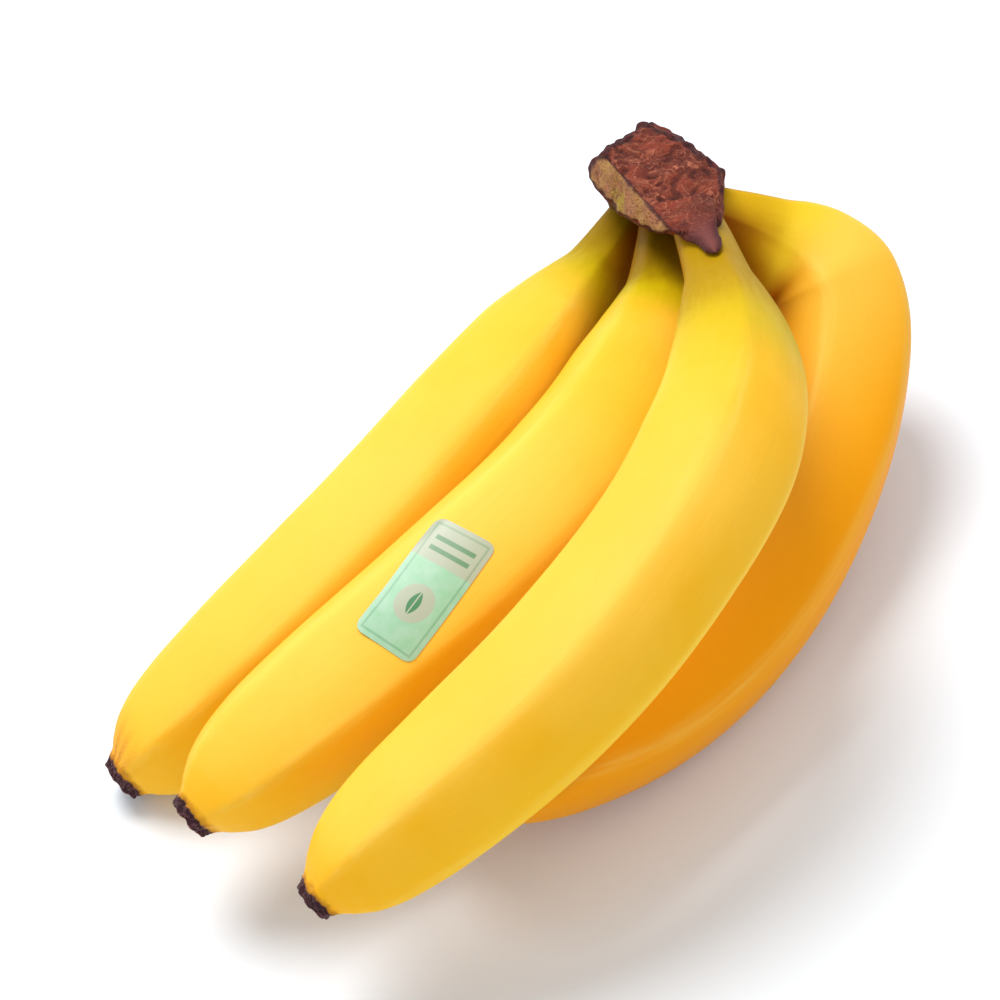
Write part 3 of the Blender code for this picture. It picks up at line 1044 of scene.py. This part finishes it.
@dataclass
class Crown:
    """Cut stalk that joins the fingers: a rounded block with a slanted face and one fresh cut.

    Places on it are measured in its own axes: across, up its face and out of its face.

    Attributes:
        finish: Look of the crown.
        middle: Its middle in the drawn bunch, in millimetres.
        width: Size across.
        height: Size up its face.
        depth: Size out of its face.
        front_share: Share of the depth at which the top of the slanted face lies.
        lip: How far the lower rim of the face stands out.
        tilt: Lean of the crown, in degrees.
        crispness: How sharp its edges are.
        seed: Seed of its random draws.
        rows: Rings of the block.
        columns: Points round a ring.
    """

    finish: CrownFinish = field(default_factory=CrownFinish)
    middle: tuple[float, float, float] = (-29.5, -86.5, 71.0)
    width: float = 29 * MM
    height: float = 24 * MM
    depth: float = 53 * MM
    front_share: float = 0.40
    lip: float = 4.5 * MM
    tilt: float = 42.0
    crispness: float = 22.0
    seed: int = 11
    rows: int = 250
    columns: int = 330

    def axes(self) -> Array:
        """Across, up and out, as rows."""
        tilt = math.radians(self.tilt)
        return np.array([[1.0, 0.0, 0.0], [0.0, math.sin(tilt), math.cos(tilt)],
                         [0.0, -math.cos(tilt), math.sin(tilt)]])

    def outline(self) -> Array:
        """Corners of the block seen from the front, in across and up."""
        half = self.width / 2
        top = self.height / 2
        return np.array([(-0.15 * half, top), (-0.45 * half, 0.72 * top), (-half, 0.25 * top),
                         (-half, -0.02 * top), (-0.60 * half, -0.60 * top),
                         (-0.02 * half, -0.95 * top),
                         (0.65 * half, -top), (half, -0.85 * top), (half, 0.1 * top),
                         (0.42 * half, 0.62 * top)])

    def planes(self) -> tuple[Array, Array]:
        """Flat faces of the block.

        Returns:
            Outward directions, and distances from the middle of the crown. The front is first
            and the fresh cut second; then the back, the sides and the bevels behind them.
        """
        top = self.height / 2
        half_depth = self.depth / 2
        rise = np.array([self.height, (self.front_share - 1) * self.depth - self.lip])
        front = np.array([0.0, -rise[1], rise[0]]) / np.hypot(*rise)
        cut = unit(np.array([-0.868, -0.091, 0.488]))
        corners = self.outline()
        edges = np.roll(corners, -1, axis=0) - corners
        sides = unit(np.stack((-edges[:, 1], edges[:, 0], np.zeros(len(edges))), -1))
        distance = np.einsum("ij,ij->i", sides[:, :2], corners)
        sides = sides * np.sign(distance)[:, None]
        bevels = unit(sides + np.array([0.0, 0.0, -0.75]))
        bevel_distance = bevels @ np.array([0, 0, -half_depth]) + np.abs(distance) * 0.8 - 3.0 * MM
        directions = np.vstack((front, cut, [0.0, 0.0, -1.0], sides, bevels))
        front_distance = front @ np.array([0, -top, half_depth + self.lip])
        distances = np.concatenate(([front_distance, 12.0 * MM, half_depth], np.abs(distance),
                                    bevel_distance))
        return directions, distances

    def block(self) -> Skin:
        """Rounded block seen from a point inside it.

        In direction d, the distance to face k is h / (n . d); the distance used is the sum of
        (n . d / h) to the power p, to the power -1/p, which rounds the edges. Each face's part
        of that sum marks it, and fibres, chips and a hollow in the cut move the surface.

        Returns:
            The closed surface.
        """
        directions, distances = self.planes()
        centre = np.array([0.5, -2.5, -3.0]) * MM
        reach = distances - directions @ centre
        slant = np.linspace(math.pi - 0.01, 0.01, self.rows)
        round_angle = np.linspace(0, 2 * math.pi, self.columns, endpoint=False)
        slant, round_angle = np.meshgrid(slant, round_angle, indexing="ij")
        ray = np.stack((np.sin(slant) * np.cos(round_angle), np.sin(slant) * np.sin(round_angle),
                        np.cos(slant)), -1)
        near = np.clip(ray @ directions.T, 0, None) / reach
        parts = (near / near.max(axis=-1, keepdims=True)) ** self.crispness
        total = parts.sum(axis=-1)
        radius = 1 / (near.max(axis=-1) * total ** (1 / self.crispness))
        shares = parts / total[..., None]
        points = centre + ray * radius[..., None]
        normal = unit(shares @ (directions / reach[:, None]))
        front, cut = shares[..., 0], shares[..., 1]
        edge = np.clip(2.2 * (1 - shares.max(axis=-1)), 0, 1)
        cut_place = points - np.array([-8.0, -4.5, 9.5]) * MM
        cut_middle = np.exp(-((np.linalg.norm(cut_place, axis=-1) / (5.5 * MM)) ** 2)) * cut
        warp = np.stack([lumps(points, 5 * MM, self.seed + k) for k in range(3)], -1) * 3.5 * MM
        fibre = 1 - 2.6 * np.abs(lumps(points + warp, 2.3 * MM, self.seed + 5))
        grain = rough_lumps(points, 1.5 * MM, self.seed + 8, 2)
        chips = np.clip(rough_lumps(points, 3.2 * MM, self.seed + 12, 2), -1, 1)
        relief = (0.55 * fibre + 0.45 * grain) * (0.35 + 0.65 * front) * (1 - 0.7 * cut)
        move = (0.42 * MM * relief + 0.75 * MM * chips * edge + 0.35 * MM * chips
                - 1.1 * MM * cut_middle)
        points = points + normal * move[..., None]
        low = eased(points[..., 1], -3 * MM, -10 * MM) * eased(points[..., 2], 14 * MM, 4 * MM)
        marks = {"carved": points.copy(), "cut": cut, "edge": edge * (1 - 0.3 * low),
                 # The relief mark sinks along the edges, so the painted hollow shade reaches them too.
                 "relief": relief - edge * 0.4, "cut_middle": cut_middle,
                 "low": low * (1 - front) * (1 - cut)}
        return Skin(points, marks)

    def spur(self) -> Skin:
        """Dried tongue that hangs from the lower right corner: a flattened tapering tube.

        Returns:
            The closed surface.
        """
        path = np.array([(7.8, -6.6, 20.0), (9.6, -9.6, 26.6), (11.8, -12.5, 31.4),
                         (13.6, -15.4, 37.8)]) * MM
        along = np.concatenate((np.linspace(0, 0.9, 40), 1 - 0.1 * np.linspace(1, 0, 14)[1:] ** 2))
        knots = np.linspace(0, 1, len(path))
        line = np.stack([curve_through(knots, path[:, k], along) for k in range(3)], -1)
        tangent = unit(np.gradient(line, axis=0))
        side = unit(np.cross(tangent, np.array([0.0, 0.35, 1.0])))
        out = np.cross(side, tangent)
        taper = np.sqrt(np.clip(1 - ((along - 0.88) / 0.121).clip(0) ** 2, 0.0004, None))
        half = curve_through((0, 0.35, 0.7, 0.9, 1.0), (5.6, 4.6, 2.7, 1.7, 1.2), along) * MM * taper
        angles = np.linspace(0, 2 * math.pi, 48, endpoint=False)
        rings = (line[:, None] + half[:, None, None] * (np.cos(angles)[None, :, None] * side[:, None]
                 + 0.5 * np.sin(angles)[None, :, None] * out[:, None]))
        knobs = 0.45 * MM * rough_lumps(rings * np.array([1, 0.5, 0.5]), 2.4 * MM, self.seed + 30)
        rings = rings + (knobs * eased(along, 1.0, 0.8)[:, None])[..., None] * unit(rings - line[:, None])
        ones = np.ones(rings.shape[:2])
        middle = np.clip(np.sin(angles), 0, 1)[None] ** 6 * ones
        spur = ones * 0.85 * eased(along, 0.25, 0.65)[:, None]
        return Skin(rings, {"carved": rings.copy(), "spur": spur, "spur_middle": middle})

    def build(self, place: Place, patterns: Patterns) -> bpy.types.Object:
        """Make the crown.

        Args:
            place: Where the bunch lies.
            patterns: Shared node groups.

        Returns:
            The piece.
        """
        skins = [self.block(), self.spur()]
        for skin in skins:
            skin.rings = place.put(skin.rings @ self.axes() + np.array(self.middle) * MM)
        obj = make_piece("dried_crown", skins)
        obj.data.materials.append(self.finish.build(patterns))
        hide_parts("crown")
        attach(obj, BODY)
        return obj


@dataclass
class Label:
    """Small round-cornered paper patch stuck along a finger.

    Attributes:
        finger: Finger that it is stuck to.
        finish: Look of the paper.
        length: Size along the finger.
        width: Size round the finger.
        thickness: Thickness of the paper.
        corner: Radius of its corners.
        station: Middle of the label, as a share of the finger's length.
        around: Middle of the label round the finger, in degrees.
        turn: Turn of the label on the skin, in degrees.
        rows: Rings along the label.
        columns: Points across one face.
    """

    finger: Finger
    finish: LabelFinish = field(default_factory=LabelFinish)
    length: float = 28 * MM
    width: float = 14.5 * MM
    thickness: float = 0.12 * MM
    corner: float = 2 * MM
    station: float = 0.652
    around: float = -10.6
    turn: float = -14.0
    rows: int = 90
    columns: int = 40

    def build(self, place: Place, patterns: Patterns) -> bpy.types.Object:
        """Make the label: its outline is laid on the finger's skin and closed as a thin sheet.

        Args:
            place: Where the bunch lies.
            patterns: Shared node groups.

        Returns:
            The piece.
        """
        along = np.linspace(-0.5, 0.5, self.rows) * self.length
        over_end = np.clip(np.abs(along) - (self.length / 2 - self.corner), 0, self.corner)
        half = self.width / 2 - self.corner + np.sqrt(self.corner ** 2 - over_end ** 2)
        sweep = np.linspace(-1, 1, self.columns)
        across = half[:, None] * np.concatenate((sweep, sweep[::-1]))
        along = np.repeat(along[:, None], 2 * self.columns, axis=1)
        height = np.repeat((1.0, 0.0), self.columns)[None] * self.thickness + 0.06 * MM
        lift = 0.30 * MM * eased(along * 0.8 + across, 10 * MM, 17 * MM)
        turn = math.radians(self.turn)
        radius = float(self.finger.half_width(np.array([self.station]))[0])
        real = self.finger.length * self.finger.lay.length_share
        u = self.station + (along * math.cos(turn) - across * math.sin(turn)) / real
        angle = math.radians(self.around) + (along * math.sin(turn) + across * math.cos(turn)) / radius
        straight = np.stack((u * real, self.finger.half_width(u) * np.cos(angle),
                             self.finger.half_width(u) * np.sin(angle)), -1)
        offset = height + lift + self.finger.relief(u, angle, straight)
        rings = self.finger.skin_points(u, angle, offset)
        printed = np.stack((along, across, 0 * along), -1)
        obj = make_piece("paper_label", [Skin(place.put(rings), {"printed": printed})], 45.0)
        obj.data.materials.append(self.finish.build(patterns))
        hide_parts("fruit_sticker")
        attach(obj, BODY)
        return obj


@dataclass
class Studio:
    """Pale table, soft light from above and the camera.

    Attributes:
        table_side: Side of the square table top.
        table_colour: Linear colour of the table.
        table_glow: Linear colour of the table's faint own light.
        lamp_place: Where the soft light hangs.
        lamp_size: Diameter of the soft light.
        lamp_power: Power of the soft light, in watts.
        room_colour: Linear colour of the surroundings.
        room_strength: Brightness of the surroundings.
        eye: Where the camera is.
        target: What it is aimed at.
        roll: Turn of the camera about its aim, in degrees.
        lens: Focal length in millimetres, on a sensor 36 mm wide.
    """

    table_side: float = 12.0
    table_colour: tuple[float, ...] = (0.87, 0.905, 0.935, 1.0)
    table_glow: tuple[float, ...] = (0.0, 0.016, 0.038, 1.0)
    lamp_place: tuple[float, float, float] = (-0.42, 0.42, 1.45)
    lamp_size: float = 0.85
    lamp_power: float = 19.0
    room_colour: tuple[float, ...] = (0.965, 0.983, 1.0, 1.0)
    room_strength: float = 0.74
    eye: tuple[float, float, float] = (0.0681, -0.5822, 0.6998)
    target: tuple[float, float, float] = (-0.0017, -0.0023, 0.045)
    roll: float = 5.5
    lens: float = 152.5

    def build(self) -> None:
        """Make the table, the light and the camera."""
        self.make_table()
        self.make_light()
        self.make_camera()

    def make_table(self) -> None:
        """Flat square table top at the foot of the object."""
        half = self.table_side / 2
        corners = [(-half, -half, 0.0), (half, -half, 0.0), (half, half, 0.0), (-half, half, 0.0)]
        mesh = bpy.data.meshes.new("table_top")
        mesh.from_pydata(corners, [], [(0, 1, 2, 3)])
        table = bpy.data.objects.new("table_top", mesh)
        bpy.context.scene.collection.objects.link(table)
        material, graph, shader = new_material("pale_table")
        graph.join(shader, Base_Color=self.table_colour, Roughness=0.9, Specular_IOR_Level=0.1,
                   Emission_Color=self.table_glow, Emission_Strength=1.0)
        mesh.materials.append(material)

    def make_light(self) -> None:
        """Wide soft light above, a little to the left and behind, and an even pale surrounding."""
        light = bpy.data.lights.new("soft_box", "AREA")
        light.shape = "DISK"
        light.size = self.lamp_size
        light.energy = self.lamp_power
        lamp = bpy.data.objects.new("soft_box", light)
        lamp.location = self.lamp_place
        lamp.rotation_euler = (-lamp.location).to_track_quat("-Z", "Y").to_euler()
        bpy.context.scene.collection.objects.link(lamp)
        world = bpy.data.worlds.new("pale_room")
        world.use_nodes = True
        Graph(world.node_tree).join(world.node_tree.nodes["Background"], Color=self.room_colour,
                                    Strength=self.room_strength)
        bpy.context.scene.world = world
        bpy.context.scene.view_settings.view_transform = "Standard"

    def make_camera(self) -> None:
        """Camera above the fingertips, aimed at the middle of the bunch."""
        camera = bpy.data.objects.new("camera", bpy.data.cameras.new("camera"))
        camera.data.lens = self.lens
        camera.data.sensor_width = 36.0
        camera.location = self.eye
        aim = (Vector(self.target) - Vector(self.eye)).to_track_quat("-Z", "Y")
        lean = Quaternion((0.0, 0.0, 1.0), math.radians(-self.roll))
        camera.rotation_euler = (aim @ lean).to_euler()
        bpy.context.scene.collection.objects.link(camera)
        bpy.context.scene.camera = camera


# Neck colours differ per finger partly as painted shade: darkest where the default is kept, paler on fingers
# 3 and 4.
FINGERS = (
    Finger(FingerLay("finger_1", (-33, -77, 54), -26, -7, -36, (1, 15, 18, 3), -11, 0.92, 0.96,
                     -25),
           PeelFinish("peel_1", stain=0.9, neck_strength=0.95, shift=0.1), 21),
    Finger(FingerLay("finger_2", (-28, -88, 60), 1, 2, -92, (13, 32, 11, 0), 27, 0.96, 0.97, -48),
           PeelFinish("peel_2", neck_strength=1.0, shift=0.5), 22),
    Finger(FingerLay("finger_3", (-22, -97, 72), 14, 9, -62, (7, 48, 26, -2), 3, 1.06, 0.93, -15,
                     shoulder=1.12),
           PeelFinish("peel_3", neck_strength=0.95, neck=(168, 128, 6), greenish=(208, 176, 14),
                      shift=0.9), 23,
           green_span=(0.40, 0.16)),
    # Fingers 4 and 5 get deeper painted shade: a darker yellow below, full shade near the table and a wider,
    # darker shade beside their neighbours.
    Finger(FingerLay("finger_4", (-17, -87, 62.1), 93, -26, -59, (87, 25, 29, 9), -12, 1.02, 0.97,
                     -10, shoulder=0.6, cheek=8.5),
           PeelFinish("peel_4", neck_strength=0.85, neck=(206, 160, 14), greenish=(228, 194, 34),
                      under=(250, 160, 0), crease_shade=(150, 68, 0), low_shade_strength=1.0,
                      crease_strength=1.0, shift=1.3), 24,
           green_span=(0.17, 0.02), highlight_span=(0.06, 0.14), crease_reach=18 * MM),
    Finger(FingerLay("finger_5", (-18, -77, 53), -1, -53, -146, (19, 38, 0, 6), 1, 0.69, 0.94, 0),
           PeelFinish("peel_5", under=(238, 152, 0), crease_shade=(150, 68, 0), low_shade_strength=1.0,
                      shift=1.7), 25,
           crease_reach=20 * MM),
)
LABELLED = 1


def main() -> None:
    """Build every piece in order and report it."""
    logging.basicConfig(level=logging.INFO, format="%(message)s")
    patterns = Patterns()
    place = Place()
    place.settle(list(FINGERS))
    pieces = [finger.build(place, patterns) for finger in FINGERS]
    pieces.append(Crown().build(place, patterns))
    pieces.append(Label(FINGERS[LABELLED]).build(place, patterns))
    for piece in pieces:
        LOG.info("%s: %d faces", piece.name, len(piece.data.polygons))
    Studio().build()


if __name__ == "__main__":
    main()
